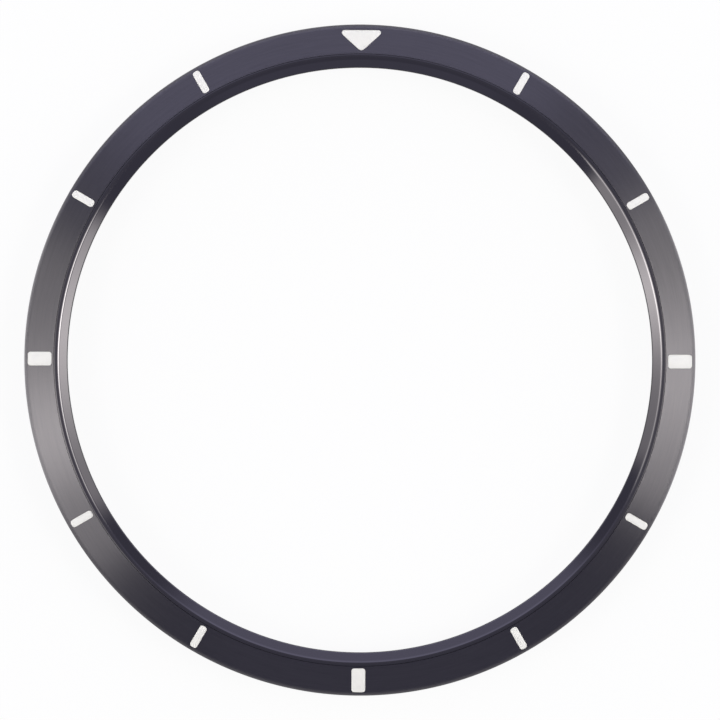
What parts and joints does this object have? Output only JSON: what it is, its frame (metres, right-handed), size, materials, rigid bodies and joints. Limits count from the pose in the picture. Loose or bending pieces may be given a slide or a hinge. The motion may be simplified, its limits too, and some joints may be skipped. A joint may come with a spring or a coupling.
{
  "type": "watch bezel",
  "caption": "Rotating watch bezel: satin black face ring with white hour markers, polished inner lip, fluted skirt, ball detents and a seat ring for the case.",
  "frame": {"origin": "centre of the seat ring's flat underside, which rests on the case", "axes": "+Z is the turning axis, out of the watch towards the wearer's eye; +Y points to the triangle at twelve o'clock; +X points to three o'clock"},
  "size_m": [0.04, 0.04, 0.0029],
  "materials": {
    "polished_black_steel": "polished",
    "satin_black_steel": "satin",
    "white_inlay": "satin",
    "adhesive_film": "matte",
    "click_ring_bronze": "satin",
    "seat_steel": "satin",
    "gasket_rubber": "matte",
    "washer_plastic": "satin",
    "spring_steel": "polished",
    "ball_steel": "polished"
  },
  "bodies": {
    "seat": {"seat_ring": "seat_steel", "case_gasket": "gasket_rubber", "slip_washer": "washer_plastic", "retaining_wire": "spring_steel", "detent_spring_1": "spring_steel", "detent_spring_2": "spring_steel", "detent_spring_3": "spring_steel"},
    "bezel": {"bezel_ring": "polished_black_steel", "face_ring": "satin_black_steel", "face_adhesive": "adhesive_film", "click_ring": "click_ring_bronze", "triangle_marker_12": "white_inlay", "stick_marker_1": "white_inlay", "stick_marker_2": "white_inlay", "bar_marker_3": "white_inlay", "stick_marker_4": "white_inlay", "stick_marker_5": "white_inlay", "bar_marker_6": "white_inlay", "stick_marker_7": "white_inlay", "stick_marker_8": "white_inlay", "bar_marker_9": "white_inlay", "stick_marker_10": "white_inlay", "stick_marker_11": "white_inlay"},
    "ball_1": {"detent_ball_1": "ball_steel"},
    "ball_2": {"detent_ball_2": "ball_steel"},
    "ball_3": {"detent_ball_3": "ball_steel"}
  },
  "joints": [
    {"name": "bezel_turn", "type": "hinge", "parent": "seat", "child": "bezel", "pos_m": [0, 0, 0.0014], "axis": [0, 0, 1], "continuous": true},
    {"name": "ball_1_travel", "type": "slide", "parent": "seat", "child": "ball_1", "axis": [0, 0, 1], "range_m": [-0.00015, 0], "stiffness_N_per_m": 400, "springref_m": 0.0004, "deforming": ["detent_spring_1"]},
    {"name": "ball_2_travel", "type": "slide", "parent": "seat", "child": "ball_2", "axis": [0, 0, 1], "range_m": [-0.00015, 0], "stiffness_N_per_m": 400, "springref_m": 0.0004, "deforming": ["detent_spring_2"]},
    {"name": "ball_3_travel", "type": "slide", "parent": "seat", "child": "ball_3", "axis": [0, 0, 1], "range_m": [-0.00015, 0], "stiffness_N_per_m": 400, "springref_m": 0.0004, "deforming": ["detent_spring_3"]}
  ]
}
